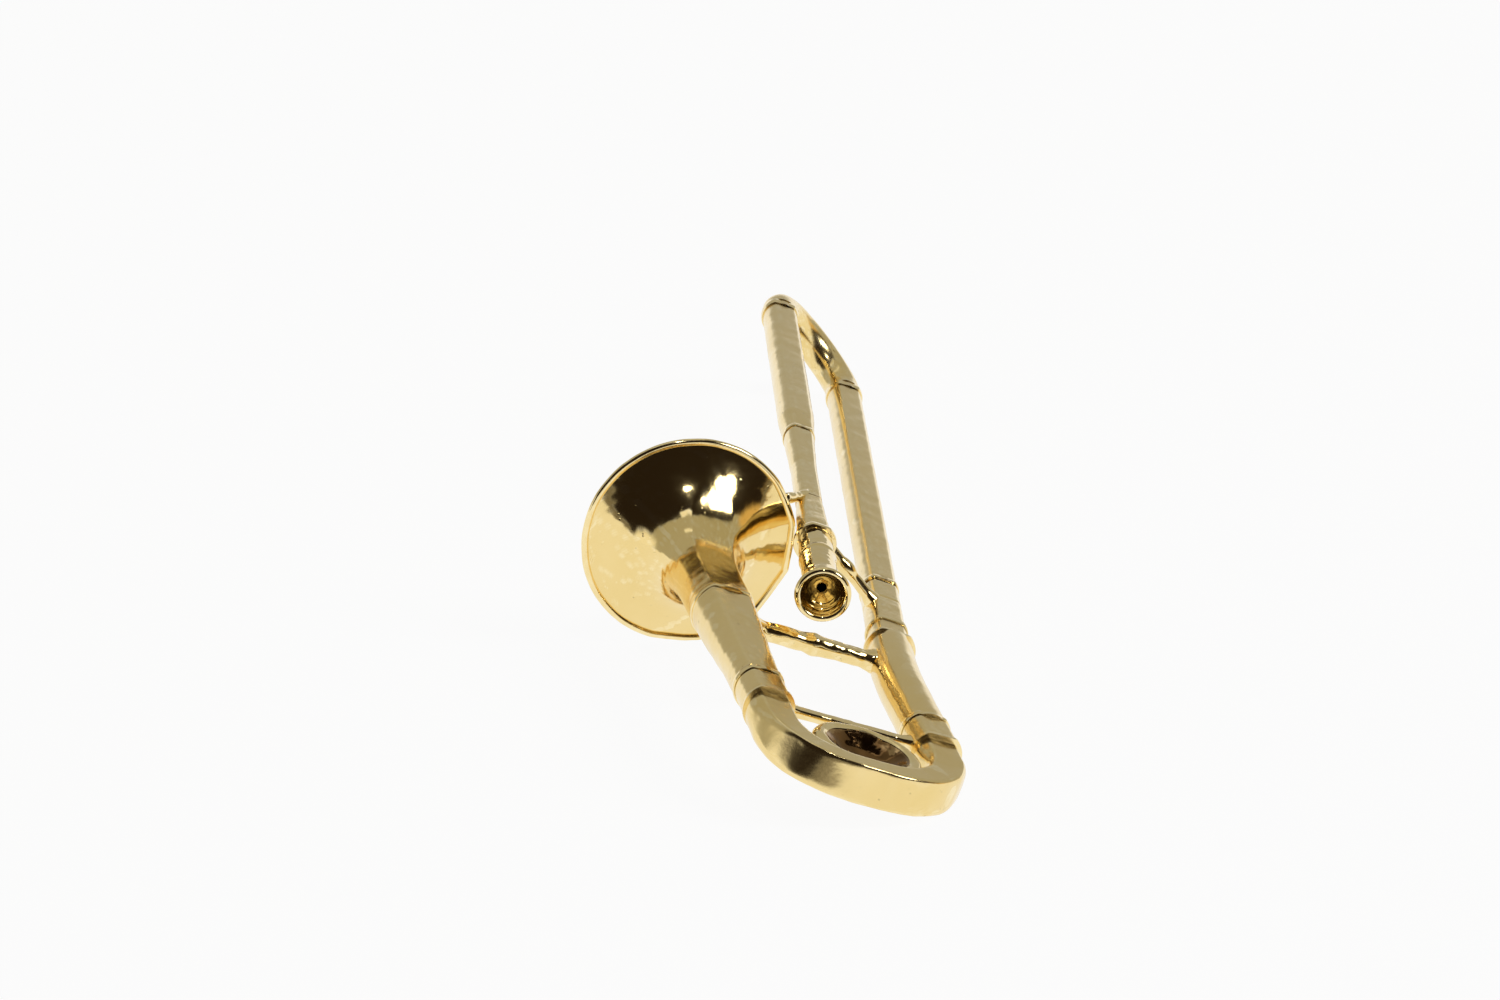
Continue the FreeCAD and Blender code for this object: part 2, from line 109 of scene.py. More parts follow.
def makeCamera():
    data = bpy.data.cameras.new("camera")
    data.lens = cameraView["lens"]
    data.sensor_width = cameraView["sensor"]
    data.clip_start = 0.01
    data.clip_end = 10.0
    camera = bpy.data.objects.new("camera", data)
    camera.location = cameraView["eye"]
    camera.rotation_euler = Vector(cameraView["aim"]).to_track_quat("-Z", "Y").to_euler()
    scene.collection.objects.link(camera)
    scene.camera = camera


makeCamera()
print("camera placed")

# shader node groups


def newGroup(name, inputs, outputs):
    group = bpy.data.node_groups.new(name, "ShaderNodeTree")
    for label, kind, value in inputs:
        socket = group.interface.new_socket(label, in_out="INPUT", socket_type=kind)
        socket.default_value = value
    for label, kind in outputs:
        group.interface.new_socket(label, in_out="OUTPUT", socket_type=kind)
    return group, group.nodes.new("NodeGroupInput"), group.nodes.new("NodeGroupOutput")


def addNode(tree, kind, settings=None, **inputs):
    # inputs by name, or i0, i1, ... for a socket's place in the node
    node = tree.nodes.new(kind)
    for key, value in (settings or {}).items():
        setattr(node, key, value)
    for key, value in inputs.items():
        isNumbered = key[0] == "i" and key[1:].isdigit()
        socket = node.inputs[int(key[1:]) if isNumbered else key]
        if isinstance(value, bpy.types.NodeSocket):
            tree.links.new(value, socket)
        else:
            socket.default_value = value
    return node


def addMath(tree, operation, *values, clamp=False):
    inputs = {"i%d" % place: value for place, value in enumerate(values)}
    settings = {"operation": operation, "use_clamp": clamp}
    return addNode(tree, "ShaderNodeMath", settings, **inputs).outputs[0]


def addRange(tree, value, low, high, first=0.0, last=1.0, smooth=False):
    # first at low, last at high
    settings = {"interpolation_type": "SMOOTHSTEP"} if smooth else {}
    return addNode(tree, "ShaderNodeMapRange", settings, Value=value,
                   i1=low, i2=high, i3=first, i4=last).outputs[0]


def addMix(tree, mask, below, colour):
    return addNode(tree, "ShaderNodeMix", {"data_type": "RGBA"}, i0=mask, i6=below,
                   i7=colour).outputs[2]


def castSurfaceGroup():
    # shallow dents and a fine grain left by casting and tumbling, with rare pits
    group, source, result = newGroup("castSurface", (
        ("Vector", "NodeSocketVector", (0, 0, 0)),
        ("Dent Scale", "NodeSocketFloat", 900.0),
        ("Grain Scale", "NodeSocketFloat", 6000.0),
        ("Pit Scale", "NodeSocketFloat", 1500.0),
        ("Dent", "NodeSocketFloat", 1.0),
        ("Grain", "NodeSocketFloat", 0.2),
        ("Pit", "NodeSocketFloat", 0.5),
    ), (("Height", "NodeSocketFloat"), ("Pits", "NodeSocketFloat")))
    get = source.outputs
    dents = addNode(group, "ShaderNodeTexNoise", Vector=get["Vector"], Scale=get["Dent Scale"],
                    Detail=2.0, Roughness=0.5)
    grain = addNode(group, "ShaderNodeTexNoise", Vector=get["Vector"], Scale=get["Grain Scale"],
                    Detail=3.0, Roughness=0.6)
    cells = addNode(group, "ShaderNodeTexVoronoi", Vector=get["Vector"], Scale=get["Pit Scale"])
    rare = addNode(group, "ShaderNodeTexNoise", Vector=get["Vector"], Scale=1700.0, Detail=1.0)
    pits = addMath(group, "MULTIPLY",
                   addRange(group, cells.outputs["Distance"], 0.12, 0.3, 1.0, 0.0, True),
                   addRange(group, rare.outputs["Fac"], 0.63, 0.72, smooth=True))
    dentPart = addMath(group, "MULTIPLY", dents.outputs["Fac"], get["Dent"])
    grainPart = addMath(group, "MULTIPLY", grain.outputs["Fac"], get["Grain"])
    pitPart = addMath(group, "MULTIPLY", pits, get["Pit"])
    total = addMath(group, "SUBTRACT", addMath(group, "ADD", dentPart, grainPart), pitPart)
    group.links.new(total, result.inputs["Height"])
    group.links.new(pits, result.inputs["Pits"])
    return group


def edgeWearAndHollowShadeGroup():
    # 1 on sharp outward edges, 0 on flats, broken up by a noise; the hollow output is painted
    # shade, 1 where the surface curves inward
    group, source, result = newGroup("edgeWearAndHollowShade", (
        ("Vector", "NodeSocketVector", (0, 0, 0)),
        ("Breakup Scale", "NodeSocketFloat", 2500.0),
        ("Reach", "NodeSocketFloat", 0.54),
    ), (("Edge", "NodeSocketFloat"), ("Hollow Shade", "NodeSocketFloat")))
    shape = addNode(group, "ShaderNodeNewGeometry")
    breakup = addNode(group, "ShaderNodeTexNoise", Vector=source.outputs["Vector"],
                      Scale=source.outputs["Breakup Scale"], Detail=2.0)
    outward = addRange(group, shape.outputs["Pointiness"], 0.5, source.outputs["Reach"])
    # painted shade: hollows found by pointiness, to be darkened in place of real shadow
    hollowShade = addRange(group, shape.outputs["Pointiness"], 0.49, 0.44)
    edge = addMath(group, "MULTIPLY", outward, breakup.outputs["Fac"], clamp=True)
    group.links.new(edge, result.inputs["Edge"])
    group.links.new(hollowShade, result.inputs["Hollow Shade"])
    return group


castSurface = castSurfaceGroup()
edgeWearAndHollowShade = edgeWearAndHollowShadeGroup()


def goldMaterial(name, look):
    material = bpy.data.materials.new(name)
    material.use_nodes = True
    tree = material.node_tree
    shader = tree.nodes["Principled BSDF"]
    place = addNode(tree, "ShaderNodeTexCoord").outputs["Object"]
    surface = addNode(tree, "ShaderNodeGroup", {"node_tree": castSurface}, Vector=place,
                      Dent=look["dent"], Grain=look["grain"], Pit=look["pit"],
                      **{"Dent Scale": look["dentScale"], "Grain Scale": look["grainScale"],
                         "Pit Scale": look["pitScale"]})
    wearAndShade = addNode(tree, "ShaderNodeGroup", {"node_tree": edgeWearAndHollowShade}, Vector=place)
    tint = addNode(tree, "ShaderNodeTexNoise", Vector=place, Scale=look["tintScale"], Detail=3.0)
    patches = addRange(tree, tint.outputs["Fac"], 0.35, 0.65)
    # darker in the pits, and painted shade in the hollows
    darkPitsAndShade = addMath(tree, "MAXIMUM",
                   addMath(tree, "MULTIPLY", surface.outputs["Pits"], look["pitDarkening"]),
                   addMath(tree, "MULTIPLY", wearAndShade.outputs["Hollow Shade"], look["hollowShadeShare"]))
    colour = addMix(tree, patches, look["colour"], look["tint"])
    colour = addMix(tree, wearAndShade.outputs["Edge"], colour, look["edge"])
    tree.links.new(addMix(tree, darkPitsAndShade, colour, look["darkPitsAndShade"]), shader.inputs["Base Color"])
    rough = addRange(tree, tint.outputs["Fac"], 0.3, 0.7, *look["rough"])
    tree.links.new(rough, shader.inputs["Roughness"])
    shader.inputs["Metallic"].default_value = 1.0
    bump = addNode(tree, "ShaderNodeBump", Height=surface.outputs["Height"],
                   Strength=1.0, Distance=look["bump"])
    tree.links.new(bump.outputs["Normal"], shader.inputs["Normal"])
    return material


goldLook = {
    "colour": (0.90, 0.70, 0.32, 1), "tint": (0.87, 0.66, 0.27, 1),
    # the dark brown below is for the pits and for the painted shade in hollows
    "edge": (1.0, 0.86, 0.52, 1), "darkPitsAndShade": (0.16, 0.09, 0.03, 1),
    "tintScale": 260.0, "rough": (0.07, 0.15), "bump": 0.00001,
    "dent": 1.0, "grain": 0.12, "pit": 0.5, "pitDarkening": 0.4, "hollowShadeShare": 0.6,
    "dentScale": 900.0, "grainScale": 7000.0, "pitScale": 5200.0,
}
satinLook = dict(goldLook, rough=(0.14, 0.24), grain=0.2, dent=0.7)
cupLook = dict(goldLook, dent=2.6, rough=(0.06, 0.12), dentScale=1800.0)
# painted shade: the weight's hollow gets a dark brown colour for the shade that falls in it
shadedDishLook = dict(goldLook, colour=(0.11, 0.06, 0.022, 1), tint=(0.24, 0.13, 0.045, 1),
                  edge=(0.6, 0.42, 0.2, 1), tintScale=900.0, dent=4.5, dentScale=1500.0)

polishedGold = goldMaterial("polishedGold", goldLook)
satinGold = goldMaterial("satinGold", satinLook)
cupGold = goldMaterial("cupGold", cupLook)
shadedDishGold = goldMaterial("shadedDishGold", shadedDishLook)
print("materials made")

# mesh helpers


def topAngle(matrix):
    # direction of the casting's flattened side, seen along a frame's X axis
    local = matrix.to_3x3().inverted() @ hornZ
    return math.atan2(local.z, local.y)


def roundCorners(points, radius, steps=3):
    rounded = [points[0]]
    for before, corner, after in zip(points, points[1:], points[2:]):
        back = Vector(before) - Vector(corner)
        ahead = Vector(after) - Vector(corner)
        if back.length < 1e-9 or ahead.length < 1e-9 or radius <= 0:
            rounded.append(corner)
            continue
        enter = Vector(corner) + back.normalized() * min(radius, back.length * 0.45)
        leave = Vector(corner) + ahead.normalized() * min(radius, ahead.length * 0.45)
        for step in range(steps + 1):
            share = step / steps
            rounded.append(tuple(enter.lerp(Vector(corner), share).lerp(
                Vector(corner).lerp(leave, share), share)))
    rounded.append(points[-1])
    return rounded


def divide(points, step):
    divided = [points[0]]
    for first, second in zip(points, points[1:]):
        count = max(1, math.ceil((Vector(second) - Vector(first)).length / step))
        for index in range(1, count + 1):
            divided.append(tuple(Vector(first).lerp(Vector(second), index / count)))
    return divided


castSizes = {"flatness": 0.92, "flatEdge": 0.03, "coarse": 0.9, "fine": 0.3, "fineShare": 0.35,
             "restHeight": 0.01}


def flattened(y, z, radius, angle, share):
    # takes a point of a round section down to the flattened side
    up = y * math.cos(angle) + z * math.sin(angle)
    excess = up - share * radius
    if excess <= 0:
        return y, z
    drop = castSizes["flatness"] * excess * excess / (excess + castSizes["flatEdge"] * radius)
    return y - drop * math.cos(angle), z - drop * math.sin(angle)


def castShift(point, roughness):
    # how far casting left the surface out of true at a point, in metres
    coarse = noise.noise(point / (castSizes["coarse"] * mm))
    fine = noise.noise(point / (castSizes["fine"] * mm) + Vector((7, 3, 5)))
    return roughness * mm * (coarse + castSizes["fineShare"] * fine)


def bridge(first, second):
    # quads between two rings of the same count
    return [(first[k], first[k + 1 - len(first)], second[k + 1 - len(second)], second[k])
            for k in range(len(first))]


def makePiece(name, points, faces):
    mesh = bpy.data.meshes.new(name)
    mesh.from_pydata(points, [], faces)
    piece = bpy.data.objects.new(name, mesh)
    scene.collection.objects.link(piece)
    cleanPiece(piece)
    return piece


def cleanPiece(piece, weld=1e-7):
    work = bmesh.new()
    work.from_mesh(piece.data)
    bmesh.ops.remove_doubles(work, verts=work.verts, dist=weld)
    bmesh.ops.dissolve_degenerate(work, edges=work.edges, dist=weld)
    bmesh.ops.recalc_face_normals(work, faces=work.faces)
    work.to_mesh(piece.data)
    work.free()


def settle(piece, matrix, roughness):
    # puts a mesh in its frame and leaves its surface a little out of true
    mesh = piece.data
    mesh.transform(matrix)
    mesh.update()
    places = [vertex.co.copy() for vertex in mesh.vertices]
    normals = [vertex.normal.copy() for vertex in mesh.vertices]
    for vertex, point, normal in zip(mesh.vertices, places, normals):
        vertex.co = point + normal * castShift(point, roughness)


def finishPiece(piece, body, nodes, material, sharp=40):
    mesh = piece.data
    mesh.materials.clear()
    mesh.materials.append(material)
    for vertex in mesh.vertices:
        # rests on the table, not in it
        vertex.co.z = max(vertex.co.z, castSizes["restHeight"] * mm)
    for polygon in mesh.polygons:
        polygon.use_smooth = True
    mesh.set_sharp_from_angle(angle=math.radians(sharp))
    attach(piece, body)
    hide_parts(*nodes)
    return piece


def lathe(name, outer, inner, matrix, flat=None, roughness=0.012, rounding=0.05,
          step=0.16, segments=96):
    # turns an outline about the frame's X axis; outer runs front to back, inner
    # back to front, both in millimetres; flat is the share of the radius that
    # the flattened side leaves
    angle = topAngle(matrix)
    outside = divide(roundCorners(outer, rounding), step)
    inside = divide(roundCorners(inner, rounding), step) if inner else []
    closed = [(x, r, True) for x, r in outside] + [(x, r, False) for x, r in inside]
    points, rings = [], []
    for x, radius, isOuter in closed:
        if radius < 1e-6:
            rings.append([len(points)])
            points.append(matrix @ Vector((x * mm, 0, 0)))
            continue
        ring = []
        for index in range(segments):
            turn = 2 * math.pi * index / segments
            y, z = radius * math.cos(turn), radius * math.sin(turn)
            if isOuter and flat:
                y, z = flattened(y, z, radius, angle, flat)
            point = matrix @ Vector((x * mm, y * mm, z * mm))
            if isOuter and roughness:
                outward = (matrix.to_3x3() @ Vector((0, y, z))).normalized()
                point += outward * castShift(point, roughness)
            ring.append(len(points))
            points.append(point)
        rings.append(ring)
    if inner:
        rings.append(rings[0])
    faces = []
    for first, second in zip(rings, rings[1:]):
        if len(first) > 1 and len(second) > 1:
            faces += bridge(first, second)
        elif len(second) > 1:
            faces += [(first[0], second[k + 1 - segments], second[k]) for k in range(segments)]
        elif len(first) > 1:
            faces += [(first[k], first[k + 1 - segments], second[0]) for k in range(segments)]
    return makePiece(name, points, faces)


def sizes(node, matrix):
    measured = span(node, matrix)
    return {key: value / mm for key, value in measured.items()}


# geometry node helpers


def newTree(name, sockets):
    tree = bpy.data.node_groups.new(name, "GeometryNodeTree")
    tree.interface.new_socket("Geometry", in_out="INPUT", socket_type="NodeSocketGeometry")
    for label, kind, value in sockets:
        socket = tree.interface.new_socket(label, in_out="INPUT", socket_type=kind)
        if value is not None:
            socket.default_value = value
    tree.interface.new_socket("Geometry", in_out="OUTPUT", socket_type="NodeSocketGeometry")
    return tree, tree.nodes.new("NodeGroupInput"), tree.nodes.new("NodeGroupOutput")


def useTree(holder, tree, values):
    modifier = holder.modifiers.new(tree.name, "NODES")
    modifier.node_group = tree
    for item in tree.interface.items_tree:
        if item.in_out == "INPUT" and item.name in values:
            modifier[item.identifier] = values[item.name]


def bakeTree(holder, name):
    # the evaluated result as a plain mesh of its own; the holder goes away
    graph = bpy.context.evaluated_depsgraph_get()
    mesh = bpy.data.meshes.new_from_object(holder.evaluated_get(graph))
    holder.modifiers.clear()
    bpy.data.objects.remove(holder)
    mesh.name = name
    piece = bpy.data.objects.new(name, mesh)
    scene.collection.objects.link(piece)
    return piece


def emptyHolder(name):
    holder = bpy.data.objects.new(name, bpy.data.meshes.new(name))
    scene.collection.objects.link(holder)
    return holder


def endTree(tree, result, geometry, material):
    real = addNode(tree, "GeometryNodeRealizeInstances", Geometry=geometry)
    painted = addNode(tree, "GeometryNodeSetMaterial", Geometry=real.outputs[0],
                      Material=material)
    tree.links.new(painted.outputs[0], result.inputs[0])
    return tree


# bell: a shell whose radius follows the flare rule

bellSizes = {
    "length": 7.0, "tail": 0.4, "throat": 1.2, "wall": 0.3,
    "power": 4.6, "shape": 0.95, "spacing": 1.7,
    "around": 288, "along": 110, "weld": 0.0005,
    # share of its height that the throat keeps, and how far out the flat top runs
    "flat": 0.77, "flatReach": 1.5,
    # least radius that the rim's straight stretches pull in
    "facetFrom": 2.4,
    # straight stretches of the rim: middle, half width and depth of each, degrees
    "facets": ((196, 15, 0.9), (228, 15, 0.9), (168, 13, 0.7), (140, 12, 0.5), (258, 13, 0.6)),
}


def bellTree(sizesOf):
    tree, source, result = newTree("bellShell", (
        ("Rim Radius", "NodeSocketFloat", 4.0), ("Throat Radius", "NodeSocketFloat", 1.2),
        ("Length", "NodeSocketFloat", 5.0), ("Tail", "NodeSocketFloat", 0.6),
        ("Power", "NodeSocketFloat", 2.4), ("Shape", "NodeSocketFloat", 0.6),
        ("Spacing", "NodeSocketFloat", 1.7), ("Material", "NodeSocketMaterial", None)))
    get = source.outputs
    sheet = addNode(tree, "GeometryNodeMeshGrid", i0=1.0, i1=1.0,
                    i2=sizesOf["around"] + 1, i3=sizesOf["along"])
    place = addNode(tree, "GeometryNodeInputPosition")
    split = addNode(tree, "ShaderNodeSeparateXYZ", Vector=place.outputs[0])
    turn = addMath(tree, "MULTIPLY", addMath(tree, "ADD", split.outputs["X"], 0.5), 2 * math.pi)
    share = addMath(tree, "ADD", split.outputs["Y"], 0.5)
    total = addMath(tree, "ADD", get["Length"], get["Tail"])
    depth = addMath(tree, "MULTIPLY", addMath(tree, "POWER", share, get["Spacing"]), total)
    used = addMath(tree, "DIVIDE", depth, get["Length"], clamp=True)
    rest = addMath(tree, "POWER", addMath(tree, "SUBTRACT", 1.0, used), get["Power"])
    opening = addMath(tree, "SUBTRACT", 1.0,
                    addMath(tree, "POWER", addMath(tree, "SUBTRACT", 1.0, rest), get["Shape"]))
    spread = addMath(tree, "MULTIPLY",
                     addMath(tree, "SUBTRACT", get["Rim Radius"], get["Throat Radius"]), opening)
    radius = addMath(tree, "ADD", get["Throat Radius"], spread)
    point = addNode(tree, "ShaderNodeCombineXYZ",
                    X=addMath(tree, "MULTIPLY", depth, -1.0),
                    Y=addMath(tree, "MULTIPLY", radius, addMath(tree, "COSINE", turn)),
                    Z=addMath(tree, "MULTIPLY", radius, addMath(tree, "SINE", turn)))
    moved = addNode(tree, "GeometryNodeSetPosition", Geometry=sheet.outputs["Mesh"],
                    Position=point.outputs[0])
    merged = addNode(tree, "GeometryNodeMergeByDistance", Geometry=moved.outputs[0],
                     Distance=sizesOf["weld"])
    return endTree(tree, result, merged.outputs[0], get["Material"])


def facetShare(turn, sizesOf, strength):
    # how much of its radius the rim keeps at an angle, where the casting is straight
    share = 1.0
    for middle, half, depth in sizesOf["facets"]:
        off = (math.degrees(turn) - middle + 180) % 360 - 180
        if abs(off) < half:
            chord = math.cos(math.radians(half)) / math.cos(math.radians(off))
            share = min(share, 1 - (1 - chord) * depth * strength)
    return share


beadSpan = span("bell_rim_bead", horn)
rimRadius = (beadSpan["outer"] + beadSpan["inner"]) / 2 / mm
beadRadius = (beadSpan["end"] - beadSpan["start"]) / 2 / mm


def makeBell():
    holder = emptyHolder("bellHolder")
    values = {label: bellSizes[label.lower()]
              for label in ("Length", "Tail", "Power", "Shape", "Spacing")}
    useTree(holder, bellTree(bellSizes), dict(values, Material=polishedGold, **{
        "Rim Radius": rimRadius, "Throat Radius": bellSizes["throat"]}))
    bell = bakeTree(holder, "bell")
    cleanPiece(bell, 0.0001)
    work = bmesh.new()
    work.from_mesh(bell.data)
    work.faces.ensure_lookup_table()
    sample = max(work.faces, key=lambda face: face.calc_center_median().x)
    middle = sample.calc_center_median()
    if sample.normal.dot(Vector((-1, middle.y, middle.z))) < 0:
        bmesh.ops.reverse_faces(work, faces=work.faces)
    facetFrom = bellSizes["facetFrom"]
    for vert in work.verts:
        co = vert.co
        radius = math.hypot(co.y, co.z)
        reach = max(0.0, (radius - facetFrom) / (rimRadius - facetFrom)) ** 2
        share = facetShare(math.atan2(co.z, co.y), bellSizes, reach)
        co.y *= share
        co.z *= share
        flare = min(1.0, (radius - bellSizes["throat"]) / bellSizes["flatReach"])
        flat = bellSizes["flat"] + (1 - bellSizes["flat"]) * max(0.0, flare)
        if flat < 0.995:
            co.y, co.z = flattened(co.y, co.z, math.hypot(co.y, co.z), math.pi / 2, flat)
    work.to_mesh(bell.data)
    work.free()
    bell.data.transform(Matrix.Scale(mm, 4))
    wall = bell.modifiers.new("wall", "SOLIDIFY")
    wall.thickness = bellSizes["wall"] * mm
    wall.offset = -1
    wall.use_even_offset = True
    bell = bakeTree(bell, "bell")
    settle(bell, horn, 0.012)
    finishPiece(bell, "root", ["bell_flare"], polishedGold, 50)
    print("bell made")


makeBell()

# rolled rim wire with the little beads that casting left on it

rimSizes = {
    "beads": 210, "beadLow": 0.45, "beadHigh": 1.0, "beadShare": 0.42, "seed": 11,
    "around": 360, "section": 20, "wireShare": 0.97, "restHeight": 0.02,
    "shoveLow": (-0.02, -0.02, 0.02), "shoveHigh": (0.02, 0.02, 0.09),
}


def rimTree():
    tree, source, result = newTree("rimWire", (
        ("Radius", "NodeSocketFloat", 4.0), ("Wire", "NodeSocketFloat", 0.14),
        ("Beads", "NodeSocketInt", 200), ("Bead Low", "NodeSocketFloat", 0.4),
        ("Bead High", "NodeSocketFloat", 1.0), ("Seed", "NodeSocketInt", 1),
        ("Material", "NodeSocketMaterial", None)))
    get = source.outputs
    ring = addNode(tree, "GeometryNodeCurvePrimitiveCircle",
                   Resolution=rimSizes["around"], Radius=get["Radius"])
    section = addNode(tree, "GeometryNodeCurvePrimitiveCircle",
                      Resolution=rimSizes["section"], Radius=get["Wire"])
    wire = addNode(tree, "GeometryNodeCurveToMesh", Curve=ring.outputs[0])
    tree.links.new(section.outputs[0], wire.inputs["Profile Curve"])
    spaced = addNode(tree, "GeometryNodeResampleCurve",
                     Curve=ring.outputs[0], Count=get["Beads"])
    beadSize = addMath(tree, "MULTIPLY", get["Wire"], rimSizes["beadShare"])
    ball = addNode(tree, "GeometryNodeMeshIcoSphere", Radius=beadSize, Subdivisions=2)
    scales = addNode(tree, "FunctionNodeRandomValue", {"data_type": "FLOAT"})
    tree.links.new(get["Bead Low"], scales.inputs[2])
    tree.links.new(get["Bead High"], scales.inputs[3])
    tree.links.new(get["Seed"], scales.inputs["Seed"])
    shove = addNode(tree, "FunctionNodeRandomValue", {"data_type": "FLOAT_VECTOR"})
    shove.inputs[0].default_value = rimSizes["shoveLow"]
    shove.inputs[1].default_value = rimSizes["shoveHigh"]
    tree.links.new(get["Seed"], shove.inputs["Seed"])
    beads = addNode(tree, "GeometryNodeInstanceOnPoints", Points=spaced.outputs[0],
                    Instance=ball.outputs["Mesh"])
    tree.links.new(scales.outputs[1], beads.inputs["Scale"])
    nudged = addNode(tree, "GeometryNodeTranslateInstances", Instances=beads.outputs[0],
                     Translation=shove.outputs[0])
    joined = addNode(tree, "GeometryNodeJoinGeometry")
    tree.links.new(nudged.outputs[0], joined.inputs[0])
    tree.links.new(wire.outputs[0], joined.inputs[0])
    return endTree(tree, result, joined.outputs[0], get["Material"])


def makeRim():
    holder = emptyHolder("rimHolder")
    useTree(holder, rimTree(), {
        "Radius": rimRadius, "Wire": beadRadius * rimSizes["wireShare"],
        "Beads": rimSizes["beads"],
        "Bead Low": rimSizes["beadLow"], "Bead High": rimSizes["beadHigh"],
        "Seed": rimSizes["seed"], "Material": polishedGold})
    rim = bakeTree(holder, "bellRim")
    for vertex in rim.data.vertices:
        # the circle lies in its own XY plane; here it stands in the horn's YZ plane
        y, z, x = vertex.co.x, vertex.co.y, -vertex.co.z
        share = facetShare(math.atan2(z, y), bellSizes, 1.0)
        point = horn @ (Vector((x, y * share, z * share)) * mm)
        vertex.co = point + (point - rimCentre).normalized() * castShift(point, 0.015)
        vertex.co.z = max(vertex.co.z, rimSizes["restHeight"] * mm)  # filed flat where it stands
    cleanPiece(rim, 1e-8)
    finishPiece(rim, "root", ["bell_rim_bead"], polishedGold)
    print("rim made")


makeRim()

# turned tubes and rings


ringSizes = {"soften": 0.02, "boreShare": 0.93, "flat": 0.8}
tubeSizes = {"rounding": 0.03, "step": 0.16, "flat": 0.8}


def makeRing(name, node, matrix, body, flat=ringSizes["flat"], shift=0.0, shrink=0.0):
    # a raised lip; its bore sits a hair inside the tube that it is soldered to
    size = sizes(node, matrix)
    start, end, radius = size["start"] + shift, size["end"] + shift, size["outer"] - shrink
    inner, soft = (size["inner"] - shrink) * ringSizes["boreShare"], radius - ringSizes["soften"]
    outer = [(end, soft), ((start + end) / 2, radius), (start, soft)]
    ring = lathe(name, outer, [(start, inner), (end, inner)], matrix, flat, 0.008, 0.05, 0.06)
    finishPiece(ring, body, [node], polishedGold)


def closedTube(name, node, matrix, body, flat=tubeSizes["flat"], roughness=0.012, taper=None,
               material=satinGold):
    # taper: over what length the near end thins, and to what radius
    size = sizes(node, matrix)
    start, end, radius = size["start"], size["end"], size["outer"]
    outer = [(end, radius), (start, radius)]
    if taper:
        outer = [(end, radius), (start + taper[0], radius), (start, taper[1])]
    inner = [(start, size["inner"]), (end, size["inner"])]
    tube = lathe(name, outer, inner, matrix, flat, roughness, tubeSizes["rounding"],
                 tubeSizes["step"])
    finishPiece(tube, body, [node], material)


bellTubeSizes = {
    "radius": 0.9, "bore": 0.6, "legDepth": 3.1, "step": 0.12, "overlap": 0.02, "ringShift": -1.95,
    # how far from each end the taper bends; how far under the throat, and the radius there
    "frontBend": 2.0, "frontDrop": 0.08, "backBend": 2.2, "backRadius": 0.96,
}


def makeBellTube():
    size = sizes("bell_tube", horn)
    throat, bore = bellSizes["throat"], bellTubeSizes["bore"]
    start = size["start"]
    end = -bellSizes["length"] - bellSizes["tail"] + bellTubeSizes["overlap"]
    outer = [(end, throat - 0.005),
             (end - bellTubeSizes["frontBend"], throat - bellTubeSizes["frontDrop"]),
             (start + bellTubeSizes["backBend"], bellTubeSizes["backRadius"]),
             (start, bellTubeSizes["radius"])]
    inner = [(start, bore), (start + bellTubeSizes["legDepth"], bore),
             (end, throat - bellSizes["wall"])]
    tube = lathe("bellTube", outer, inner, horn, bellSizes["flat"], 0.02, tubeSizes["rounding"],
                 bellTubeSizes["step"])
    finishPiece(tube, "root", ["bell_tube"], satinGold)


makeBellTube()
makeRing("bellJointRing", "bell_joint_ring", horn, "root", shift=bellTubeSizes["ringShift"],
         shrink=0.035)
makeRing("bellEndRing", "bell_end_ring", horn, "root")
makeRing("neckEndRing", "neck_end_ring", hornNeck, "root")

receiverSizes = {"radius": 0.92, "lip": 0.07, "lipWidth": 0.24, "collarRadius": 0.76}
barrelSizes = {"chamfer": 0.2, "drop": 0.1, "grooveFrom": 0.3, "grooveTo": 0.5, "groove": 0.05}


def turnSleeve(name, node, outer, matrix, body, roughness=0.012):
    # an outline turned round the node's own bore
    size = sizes(node, matrix)
    inner = [(size["start"], size["inner"]), (size["end"], size["inner"])]
    piece = lathe(name, outer, inner, matrix, tubeSizes["flat"], roughness, 0.05, 0.08)
    finishPiece(piece, body, [node], satinGold)


def makeReceiver():
    size = sizes("slide_receiver", slide)
    radius, lip, width = receiverSizes["radius"], receiverSizes["lip"], receiverSizes["lipWidth"]
    start, end = size["start"], size["end"]
    collar = receiverSizes["collarRadius"]
    outer = [(end + 0.02, collar + lip), (end - width, collar + lip), (end - width, collar),
             (start + width, collar), (start + width, radius + lip), (start, radius + lip)]
    turnSleeve("slideReceiver", "slide_receiver", outer, slide, "root")
    size = sizes("slide_collar", slide)
    outer = [(size["end"], collar - 0.02), (size["start"], collar)]
    turnSleeve("slideCollar", "slide_collar", outer, slide, "root")
    size = sizes("neck_cork_barrel", slide)
    start, end, radius = size["start"], size["end"], size["outer"]
    grooveFrom, grooveTo = barrelSizes["grooveFrom"], barrelSizes["grooveTo"]
    outer = [(end, radius - barrelSizes["drop"]), (end - barrelSizes["chamfer"], radius),
             (start + grooveTo, radius),
             (start + (grooveFrom + grooveTo) / 2, radius - barrelSizes["groove"]),
             (start + grooveFrom, radius), (start, radius)]
    turnSleeve("corkBarrel", "neck_cork_barrel", outer, slide, "root", 0.014)


makeReceiver()
closedTube("neckInnerTube", "neck_inner_tube", slide, "root", None, 0, material=polishedGold)

leadSizes = {"middle": 0.52, "end": 0.61, "length": 4.2}


